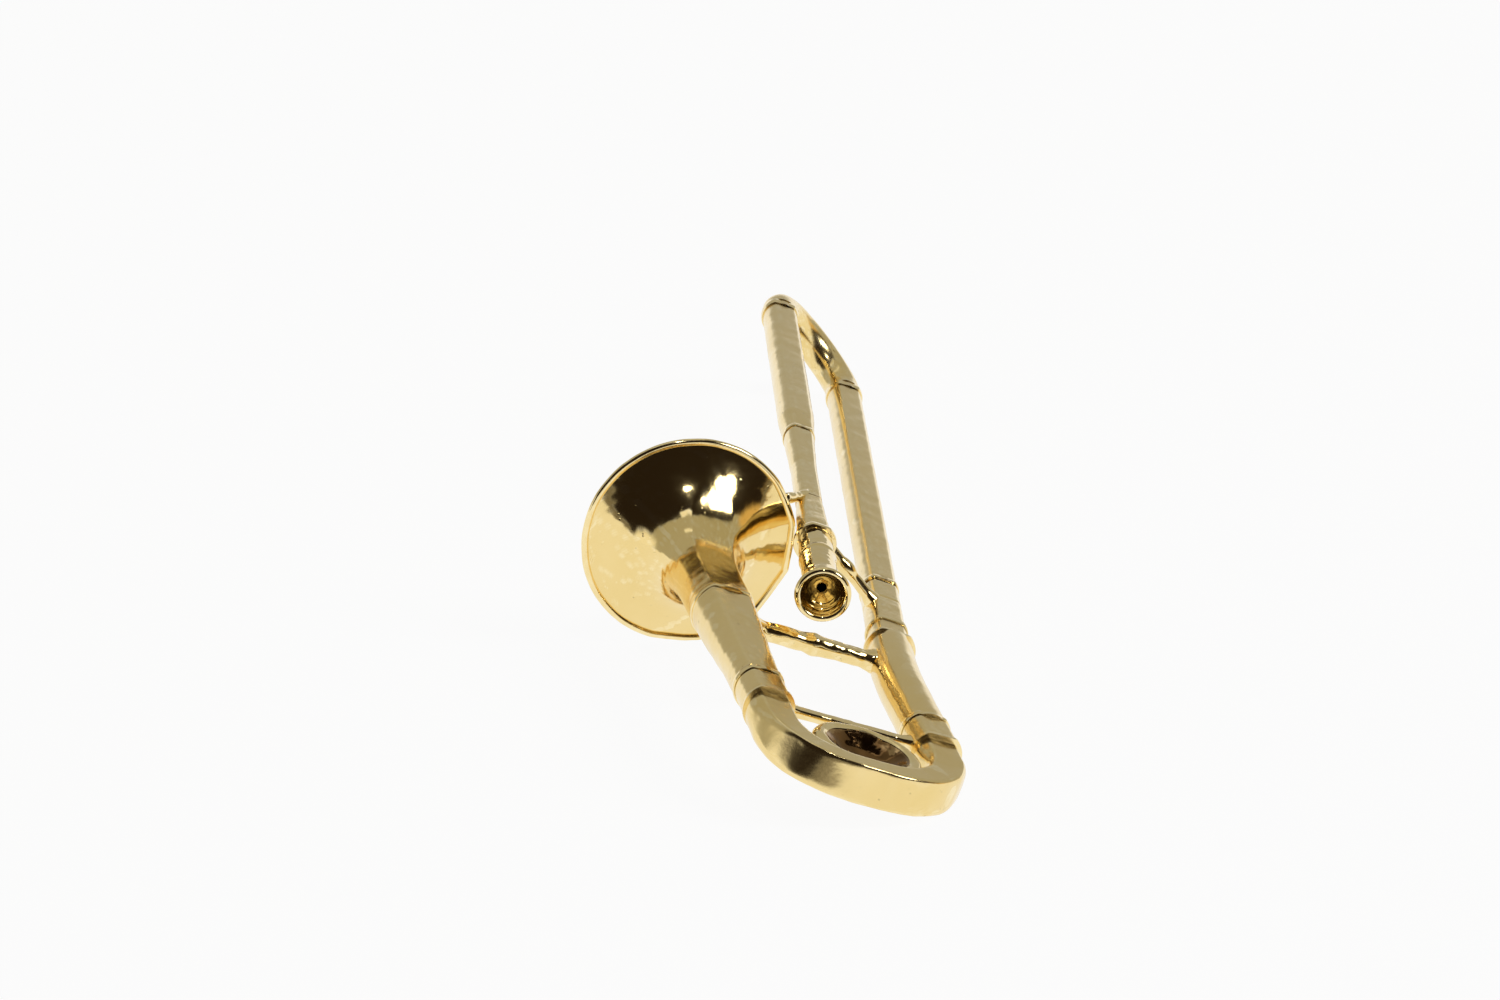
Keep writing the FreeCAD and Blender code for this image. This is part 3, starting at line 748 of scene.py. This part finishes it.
def makeLeadPipe():
    # the fixed tube swells towards the place where the hand slide meets it
    size = sizes("mouth_inner_tube", slideMouth)
    start, end, radius = size["start"], size["end"], size["outer"]
    meet = sizes("mouth_outer_tube", slideMouth)["start"] - 0.04
    outer = [(end, radius), (meet, radius), (meet, leadSizes["end"]),
             (meet - leadSizes["length"], leadSizes["middle"]), (start, leadSizes["middle"])]
    piece = lathe("mouthInnerTube", outer, [(start, size["inner"]), (end, size["inner"])],
                  slideMouth, 0.8, 0.01, 0.03, 0.12)
    finishPiece(piece, "root", ["mouth_inner_tube"], satinGold)


makeLeadPipe()

socketSizes = {"radius": 0.64, "neck": 1.6, "tail": 0.5, "reach": 1.0,
               "bore": 0.43, "boreDepth": 3.3, "throat": 0.34}


def makeSocket():
    size = sizes("mouthpiece_receiver", slideMouth)
    start, end = size["start"] - socketSizes["reach"], size["end"]
    radius, bore, throat = socketSizes["radius"], socketSizes["bore"], socketSizes["throat"]
    outer = [(end, socketSizes["tail"]), (start + socketSizes["neck"], radius - 0.01),
             (start, radius)]
    bottom = start + socketSizes["boreDepth"]
    inner = [(start, bore), (bottom, bore), (bottom, throat), (end, throat)]
    piece = lathe("mouthpieceReceiver", outer, inner, slideMouth, tubeSizes["flat"], 0.02,
                  tubeSizes["rounding"], 0.1)
    finishPiece(piece, "root", ["mouthpiece_receiver"], satinGold)
    makeRing("mouthpieceReceiverRing", "mouthpiece_receiver_ring", slideMouth, "root", 0.9,
             shift=-socketSizes["reach"])


makeSocket()

# hand slide

closedTube("neckOuterTube", "neck_outer_tube", slide, "hand_slide")
closedTube("mouthOuterTube", "mouth_outer_tube", slideMouth, "hand_slide", taper=(2.2, 0.61))
makeRing("neckOuterEndRing", "neck_outer_end_ring", slide, "hand_slide")
makeRing("mouthOuterEndRing", "mouth_outer_end_ring", slideMouth, "hand_slide", shrink=0.13)
makeRing("neckBowFerrule", "neck_bow_ferrule", slide, "hand_slide")
makeRing("mouthBowFerrule", "mouth_bow_ferrule", slideMouth, "hand_slide")
print("tubes made")

# pipes that follow a path


def pipeTree():
    tree, source, result = newTree("flatTopPipe", (
        ("Radius", "NodeSocketFloat", 0.9), ("Flat", "NodeSocketFloat", 0.8),
        ("Spacing", "NodeSocketFloat", 0.12), ("Material", "NodeSocketMaterial", None)))
    get = source.outputs
    section = addNode(tree, "GeometryNodeCurvePrimitiveCircle", Resolution=96,
                      Radius=get["Radius"])
    place = addNode(tree, "ShaderNodeSeparateXYZ",
                    Vector=addNode(tree, "GeometryNodeInputPosition").outputs[0])
    limit = addMath(tree, "MULTIPLY", get["Radius"], get["Flat"])
    level = addMath(tree, "SMOOTH_MIN", place.outputs["Y"], limit,
                    addMath(tree, "MULTIPLY", get["Radius"], 0.06))
    cut = addNode(tree, "GeometryNodeSetPosition", Geometry=section.outputs[0],
                  Position=addNode(tree, "ShaderNodeCombineXYZ",
                                   X=place.outputs["X"], Y=level).outputs[0])
    spaced = addNode(tree, "GeometryNodeResampleCurve", {"mode": "LENGTH"},
                     Curve=get["Geometry"], Length=get["Spacing"])
    upright = addNode(tree, "GeometryNodeSetCurveNormal", {"mode": "Z_UP"}, Curve=spaced.outputs[0])
    pipe = addNode(tree, "GeometryNodeCurveToMesh", Curve=upright.outputs[0])
    tree.links.new(cut.outputs[0], pipe.inputs["Profile Curve"])
    return endTree(tree, result, pipe.outputs[0], get["Material"])


flatTopPipe = pipeTree()


def makePipe(name, path, matrix, values, wall, body, nodes, roughness=0.012):
    # path: points in millimetres, in the plane of the frame's X and Y axes
    data = bpy.data.curves.new(name + "Line", "CURVE")
    data.dimensions = "3D"
    line = data.splines.new("POLY")
    line.points.add(len(path) - 1)
    for point, (x, y) in zip(line.points, path):
        point.co = (x, y, 0, 1)
    holder = bpy.data.objects.new(name + "Holder", data)
    scene.collection.objects.link(holder)
    useTree(holder, flatTopPipe, dict(values, Material=satinGold))
    pipe = bakeTree(holder, name)
    cleanPiece(pipe, 0.00001)
    thickness = pipe.modifiers.new("wall", "SOLIDIFY")
    thickness.thickness = wall
    thickness.offset = -1
    pipe = bakeTree(pipe, name)
    settle(pipe, matrix @ Matrix.Scale(mm, 4), roughness)
    return finishPiece(pipe, body, nodes, satinGold)


neckSizes = {"bendStart": 11.5, "bendRadius": 32.2, "bendAngle": 9.28, "twist": 6.3,
             "radius": 0.9, "wall": 0.27, "spacing": 0.12, "steps": 24}


def makeNeckPipe():
    start = sizes("neck_end_ring", hornNeck)["start"]
    bendAt = -neckSizes["bendStart"]
    radius = neckSizes["bendRadius"]
    path = [(start - bendAt, 0.0), (0.0, 0.0)]
    for step in range(1, neckSizes["steps"] + 1):
        turn = math.radians(neckSizes["bendAngle"]) * step / neckSizes["steps"]
        path.append((radius * math.sin(turn), -radius * (1 - math.cos(turn))))
    matrix = hornNeck @ Matrix.Translation((bendAt * mm, 0, 0)) @ Matrix.Rotation(
        math.radians(neckSizes["twist"]), 4, "X")
    makePipe("neckPipe", path, matrix,
             {"Radius": neckSizes["radius"] - 0.01, "Flat": tubeSizes["flat"],
              "Spacing": neckSizes["spacing"]}, neckSizes["wall"], "root", ["neckpipe"])


def makeSlideBow():
    start = sizes("neck_bow_ferrule", slide)["end"]
    corner = slideGap / mm / 2
    path = [(start, 0.0), (start + 0.1, 0.0)]
    for step in range(0, 41):
        turn = math.pi * step / 40
        path.append((start + 0.2 + corner * math.sin(turn), corner * (1 - math.cos(turn))))
    path += [(start + 0.1, 2 * corner), (start, 2 * corner)]
    flip = slide @ Matrix.Rotation(math.pi / 2, 4, "X")
    radius = sizes("neck_outer_tube", slide)["outer"]
    makePipe("slideBow", path, flip, {"Radius": radius - 0.01, "Flat": 1.3, "Spacing": 0.1},
             0.17, "hand_slide", ["slide_bow"])


makeNeckPipe()
makeSlideBow()
print("bent pipes made")

# tuning slide

bowSizes = {
    "straight": 1.2, "corner": 2.9, "drop": 0.1,
    # half width and heights at the ferrules and round the back
    "startWide": 0.88, "startHigh": 0.88, "backWide": 0.62, "backTop": 0.6, "backLow": 0.88,
    "lean": 0.2, "squareness": 0.26,
    # share of the line's length that each end takes to become square, and where the
    # outer face stops leaning
    "ends": 0.27, "leanTo": 0.52, "leanFade": 0.16,
}


def bowLine(count=120):
    straight, corner, gap = bowSizes["straight"], bowSizes["corner"], legGap / mm
    bend, back = math.pi * corner / 2, gap - 2 * corner
    total = 2 * straight + math.pi * corner + back
    line = []
    for index in range(count + 1):
        s = total * index / count
        if s < straight:
            point, out = (-s, 0), (0, 1)
        elif s < straight + bend:
            a = (s - straight) / corner
            point = (-straight - corner * math.sin(a), -corner * (1 - math.cos(a)))
            out = (-math.sin(a), math.cos(a))
        elif s < straight + bend + back:
            point = (-straight - corner, -corner - (s - straight - bend))
            out = (-1, 0)
        elif s < total - straight:
            a = (s - straight - bend - back) / corner
            point = (-straight - corner * math.cos(a), -gap + corner - corner * math.sin(a))
            out = (-math.cos(a), -math.sin(a))
        else:
            point, out = (-(total - s), -gap), (0, -1)
        line.append((point, out, index / count))
    return line


def bowSection(turn, share):
    # round at the ferrules; round the back a flat top, a crisp upper edge and a
    # flat outer face
    ends = min(1.0, min(share, 1 - share) / bowSizes["ends"])
    blend = ends * ends * (3 - 2 * ends)
    c, s = math.cos(turn), math.sin(turn)
    roundN = bowSizes["startWide"] * c
    roundZ = bowSizes["startHigh"] * min(s, tubeSizes["flat"])
    power = bowSizes["squareness"]
    squareN = bowSizes["backWide"] * math.copysign(abs(c) ** power, c)
    high = bowSizes["backTop"] if s > 0 else bowSizes["backLow"]
    squareZ = high * math.copysign(abs(s) ** power, s)
    # the outer face leans in towards the top on the bell's side of the bow
    leanShare = 1 - min(1.0, max(0.0, (share - bowSizes["leanTo"]) / bowSizes["leanFade"]))
    rise = max(0.0, (squareZ + bowSizes["backLow"]) / (bowSizes["backTop"] + bowSizes["backLow"]))
    squareN -= bowSizes["lean"] * leanShare * rise * max(0.0, c) ** 0.5
    return (roundN + (squareN - roundN) * blend, roundZ + (squareZ - roundZ) * blend)


def makeTuningBow():
    ferruleEnd = sizes("bell_tuning_ferrule", horn)["start"]
    matrix = horn @ Matrix.Translation((ferruleEnd * mm, 0, -bowSizes["drop"] * mm))
    points, rings, segments = [], [], 96
    for (x, y), (outX, outY), share in bowLine():
        ring = []
        for index in range(segments):
            n, z = bowSection(2 * math.pi * index / segments, share)
            point = matrix @ (Vector((x + outX * n, y + outY * n, z)) * mm)
            outward = (matrix.to_3x3() @ Vector((outX * n, outY * n, z))).normalized()
            point += outward * castShift(point, 0.022)
            point.z = max(point.z, castSizes["restHeight"] * mm)
            ring.append(len(points))
            points.append(point)
        rings.append(ring)
    faces = [tuple(reversed(rings[0])), tuple(rings[-1])]
    for first, second in zip(rings, rings[1:]):
        faces += bridge(first, second)
    bow = makePiece("tuningBow", points, faces)
    finishPiece(bow, "tuning_slide", ["tuning_bow"], satinGold, 35)


def makeFerrule(name, node, matrix):
    size = sizes(node, matrix)
    start, end, lip = size["start"], size["end"], size["outer"]
    radius = lip - 0.06
    outer = [(end, radius), (start + 0.22, radius), (start + 0.2, lip), (start, lip)]
    turnSleeve(name, node, outer, matrix, "tuning_slide")


makeTuningBow()
makeFerrule("bellTuningFerrule", "bell_tuning_ferrule", horn)
makeFerrule("neckTuningFerrule", "neck_tuning_ferrule", hornNeck)
closedTube("bellTuningLeg", "bell_tuning_leg", horn, "tuning_slide", None, 0, material=polishedGold)
closedTube("neckTuningLeg", "neck_tuning_leg", hornNeck, "tuning_slide", None, 0,
           material=polishedGold)

weightSizes = {
    "width": 2.0, "length": 2.1, "back": 18.75,
    # share of the oval and height of each point round the border and the dish, in mm
    "border": ((0.76, 0.36), (0.82, 0.45), (0.94, 0.42), (1.0, 0.24), (1.0, -0.1), (0.88, -0.42),
               (0.76, -0.4)),
    "dish": ((0, -0.4), (0.25, -0.36), (0.5, -0.14), (0.78, 0.36), (0.78, -0.36), (0.5, -0.66),
             (0, -0.8)),
}


def makeOval(name, profile, closed, material, roughness):
    # a profile carried round the weight's oval outline
    matrix = horn @ Matrix.Translation((-weightSizes["back"] * mm, -legGap / 2, 0))
    line = divide(roundCorners(profile + profile[:1] if closed else profile, 0.06), 0.06)
    points, faces, rings, segments = [], [], [], 96
    for share, high in line:
        rings.append(range(len(points), len(points) + segments))
        for index in range(segments):
            turn = 2 * math.pi * index / segments
            point = matrix @ (Vector((weightSizes["width"] * share * math.cos(turn),
                                      weightSizes["length"] * share * math.sin(turn), high)) * mm)
            points.append(point + hornZ * castShift(point, roughness))
    for first, second in zip(rings, rings[1:]):
        faces += bridge(first, second)
    weight = makePiece(name, points, faces)
    cleanPiece(weight, 1e-6)
    finishPiece(weight, "tuning_slide", ["balance_weight"], material)


def makeWeight():
    makeOval("balanceWeight", weightSizes["border"], True, satinGold, 0.03)
    # the dish is painted dark brown as shade
    makeOval("weightDish", weightSizes["dish"], False, shadedDishGold, 0.06)


makeWeight()
print("tuning slide made")

# braces


# foot and stem from the ends, knob's foot and top from the middle, in mm; then the
# shares of their full radii that foot and knob have there
braceShape = {"at": (0.18, 0.45, 0.42, 0.22), "foot": 0.86, "knob": 0.9}


def makeBrace(name, node, start, end, sizesOf, body, roughness=0.03):
    # a turned stay between two points, with flared feet and a knob halfway
    along = end - start
    length = along.length / mm
    xAxis = along.normalized()
    yAxis = (hornZ - xAxis * hornZ.dot(xAxis)).normalized()
    matrix = frameMatrix(start, xAxis, yAxis, xAxis.cross(yAxis))
    stem, knob, foot, middle = sizesOf["stem"], sizesOf["knob"], sizesOf["foot"], length / 2
    footAt, stemAt, knobAt, knobTop = braceShape["at"]
    footRadius, knobRadius = foot * braceShape["foot"], knob * braceShape["knob"]
    outer = [(length, 0), (length, foot), (length - footAt, footRadius), (length - stemAt, stem),
             (middle + knobAt, stem), (middle + knobTop, knobRadius), (middle, knob),
             (middle - knobTop, knobRadius), (middle - knobAt, stem), (stemAt, stem),
             (footAt, footRadius), (0, foot), (0, 0)]
    piece = lathe(name, outer, None, matrix, sizesOf.get("flat"), roughness, 0.1, 0.07, 48)
    return finishPiece(piece, body, [node], polishedGold)


def braceEnds(node, matrix, axis):
    # the middle of a node's box and its reach along one axis of a frame
    inverse = matrix.inverted()
    local = [inverse @ v.co for v in frame["nodes"][node].data.vertices]
    low = Vector([min(p[k] for p in local) for k in range(3)])
    high = Vector([max(p[k] for p in local) for k in range(3)])
    middle = (low + high) / 2
    first, second = middle.copy(), middle.copy()
    first[axis], second[axis] = low[axis], high[axis]
    return matrix @ first, matrix @ second


frontEnds = braceEnds("front_brace", horn, 1)
makeBrace("frontBrace", "front_brace", frontEnds[1], frontEnds[0],
          {"stem": 0.38, "knob": 0.46, "foot": 0.52, "flat": 0.8}, "root", 0.07)
rearEnds = braceEnds("rear_brace", horn, 1)
makeBrace("rearBrace", "rear_brace", rearEnds[1], rearEnds[0],
          {"stem": 0.24, "knob": 0.26, "foot": 0.36, "flat": 0.6}, "tuning_slide", 0.02)
slideEnds = braceEnds("inner_slide_brace", slide, 2)
stayShift = slideX * -1.3 * mm
makeBrace("innerSlideBrace", "inner_slide_brace", slideEnds[0] + stayShift,
          slideEnds[1] + stayShift, {"stem": 0.23, "knob": 0.34, "foot": 0.36}, "root", 0.03)


def makeStrut():
    # short soldered pin between the rim and the leadpipe, from its own node's ends
    points = [v.co.copy() for v in frame["nodes"]["rim_strut"].data.vertices]
    far = max(points, key=lambda p: (p - rimCentre).length)
    near = min(points, key=lambda p: (p - rimCentre).length)
    middle = sum(points, Vector()) / len(points)
    axis = (far - near).normalized()
    reach = max(abs((p - middle).dot(axis)) for p in points)
    start, end = middle - axis * reach, middle + axis * reach
    makeBrace("rimStrut", "rim_strut", start, end,
              {"stem": 0.22, "knob": 0.22, "foot": 0.26}, "root", 0.03)


makeStrut()
print("braces made")

# mouthpiece

mouthSizes = {
    "rim": 1.07, "bite": 0.82, "throat": 0.165, "depth": 0.95, "neck": 0.68, "shank": 0.4,
    # distance from the rim and step in radius of each point down the neck, round the
    # rim and down the ringed cup
    "neckLine": ((4.4, 0), (4.2, 0.04), (4.0, 0), (2.0, -0.02), (1.1, 0.04), (0.6, 0.18)),
    "rimLine": ((0.35, -0.06), (0.16, 0), (0.04, -0.06), (0, -0.13)),
    "cupLine": ((0, 0.08), (0.06, 0), (0.22, -0.04), (0.25, -0.07), (0.45, -0.13), (0.48, -0.17),
                (0.62, -0.26), (0.65, -0.3), (0.76, -0.42), (0.79, -0.45)),
}


def makeMouthpiece():
    size = sizes("mouthpiece", slideMouth)
    start, end, shank = size["start"], size["end"], mouthSizes["shank"]
    socketStart = sizes("mouthpiece_receiver", slideMouth)["start"] - socketSizes["reach"]
    shankStart = socketStart - 0.03

    def line(key, radius):
        return [(start + along, radius + step) for along, step in mouthSizes[key]]

    outer = [(end, shank), (shankStart, shank), (shankStart, mouthSizes["neck"] - 0.02)]
    outer += line("neckLine", mouthSizes["neck"]) + line("rimLine", mouthSizes["rim"])
    inner = line("cupLine", mouthSizes["bite"])
    inner += [(start + mouthSizes["depth"], mouthSizes["throat"]), (end, mouthSizes["throat"])]
    piece = lathe("cupMouthpiece", outer, inner, slideMouth, None, 0.012, 0.05, 0.07, 128)
    finishPiece(piece, "mouthpiece", ["mouthpiece"], cupGold, 50)
    print("mouthpiece made")


makeMouthpiece()

# floor, light

floorSizes = {"half": 3.0, "colour": (0.92, 0.92, 0.91, 1), "whiteShare": 0.94}
studio = {
    "white": (1.0, 1.0, 1.0, 1), "panel": (0.43, 0.42, 0.37, 1), "dark": (0.02, 0.014, 0.010, 1),
    "olive": (0.18, 0.16, 0.13, 1), "warm": (0.72, 0.50, 0.20, 1),
    "panelFrom": 4.0, "panelTo": 88.0, "darkTo": 171.0, "oliveTo": 179.0,
    "side": (0.93, 0.985), "bars": ((62.0, 67.0), (88.0, 95.0)), "barSide": 0.3,
    "warmSide": (0.70, 0.80),
}


def makeFloor():
    half = floorSizes["half"]
    mesh = bpy.data.meshes.new("floor")
    mesh.from_pydata([(-half, -half, 0), (half, -half, 0), (half, half, 0), (-half, half, 0)],
                     [], [(0, 1, 2, 3)])
    floor = bpy.data.objects.new("floor", mesh)
    scene.collection.objects.link(floor)
    material = bpy.data.materials.new("tableTop")
    material.use_nodes = True
    tree = material.node_tree
    tree.nodes.clear()
    path = addNode(tree, "ShaderNodeLightPath")
    seen = path.outputs["Is Camera Ray"]
    for ray in ("Is Glossy Ray", "Is Transmission Ray"):
        seen = addMath(tree, "MAXIMUM", seen, path.outputs[ray])
    share = addMath(tree, "MULTIPLY", seen, floorSizes["whiteShare"])
    cloth = addNode(tree, "ShaderNodeBsdfDiffuse", Color=floorSizes["colour"])
    glow = addNode(tree, "ShaderNodeEmission", Color=(1, 1, 1, 1), Strength=1.0)
    mix = addNode(tree, "ShaderNodeMixShader", i0=share, i1=cloth.outputs[0],
                  i2=glow.outputs[0])
    output = addNode(tree, "ShaderNodeOutputMaterial", Surface=mix.outputs[0])
    tree.nodes.active = output
    mesh.materials.append(material)


def makeWorld():
    # a white room with a khaki panel ahead, a dark gap overhead and behind, an olive
    # strip low behind, two white bars overhead and a warm wall on the right; angles
    # are degrees up and over from straight ahead
    world = bpy.data.worlds.new("studio")
    scene.world = world
    world.use_nodes = True
    tree = world.node_tree
    tree.nodes.clear()
    place = addNode(tree, "ShaderNodeTexCoord").outputs["Generated"]
    split = addNode(tree, "ShaderNodeSeparateXYZ", Vector=place)
    x, y, z = split.outputs
    over = addMath(tree, "MULTIPLY", addMath(tree, "ARCTAN2", z, x), 180 / math.pi)
    side = addMath(tree, "ABSOLUTE", y)

    def within(value, low, high):
        return addRange(tree, value, low, high, 1.0, 0.0, True)

    inSide = within(side, *studio["side"])
    inBar = within(side, studio["barSide"], studio["barSide"] + 0.05)
    right = within(addMath(tree, "MULTIPLY", y, -1.0), *studio["warmSide"])
    inRight = addMath(tree, "SUBTRACT", 1.0, right)

    def band(low, high, soft, across=inSide):
        rise = addRange(tree, over, low - soft, low + soft, smooth=True)
        fall = within(over, high - soft, high + soft)
        return addMath(tree, "MULTIPLY", addMath(tree, "MULTIPLY", rise, fall), across)

    colour = addMix(tree, inRight, studio["white"], studio["warm"])
    for paint, low, high, soft in (("panel", "panelFrom", "panelTo", 1.0),
                                   ("dark", "panelTo", "darkTo", 2.0),
                                   ("olive", "darkTo", "oliveTo", 1.0)):
        colour = addMix(tree, band(studio[low], studio[high], soft), colour, studio[paint])
    for low, high in studio["bars"]:
        colour = addMix(tree, band(low, high, 1.0, inBar), colour, studio["white"])
    background = addNode(tree, "ShaderNodeBackground", Color=colour, Strength=1.0)
    path = addNode(tree, "ShaderNodeLightPath")
    white = addNode(tree, "ShaderNodeBackground", Color=(1, 1, 1, 1), Strength=1.0)
    mix = addNode(tree, "ShaderNodeMixShader", i0=path.outputs["Is Camera Ray"],
                  i1=background.outputs[0], i2=white.outputs[0])
    addNode(tree, "ShaderNodeOutputWorld", Surface=mix.outputs[0])


# place, width and power of each lamp
lampSizes = {"keyLamp": ((-0.30, -0.50, 0.46), 0.3, 1.6),
             "smallLamp": ((-0.22, -0.02, 0.45), 0.05, 0.2)}


def makeLamp(name, place, size, power):
    data = bpy.data.lights.new(name, "AREA")
    data.shape = "DISK"
    data.size = size
    data.energy = power
    lamp = bpy.data.objects.new(name, data)
    lamp.location = place
    lamp.rotation_euler = (-Vector(place)).to_track_quat("-Z", "Y").to_euler()
    scene.collection.objects.link(lamp)


makeFloor()
makeWorld()
for name, (place, size, power) in lampSizes.items():
    makeLamp(name, place, size, power)
scene.view_settings.view_transform = "Standard"
print("stage lit")
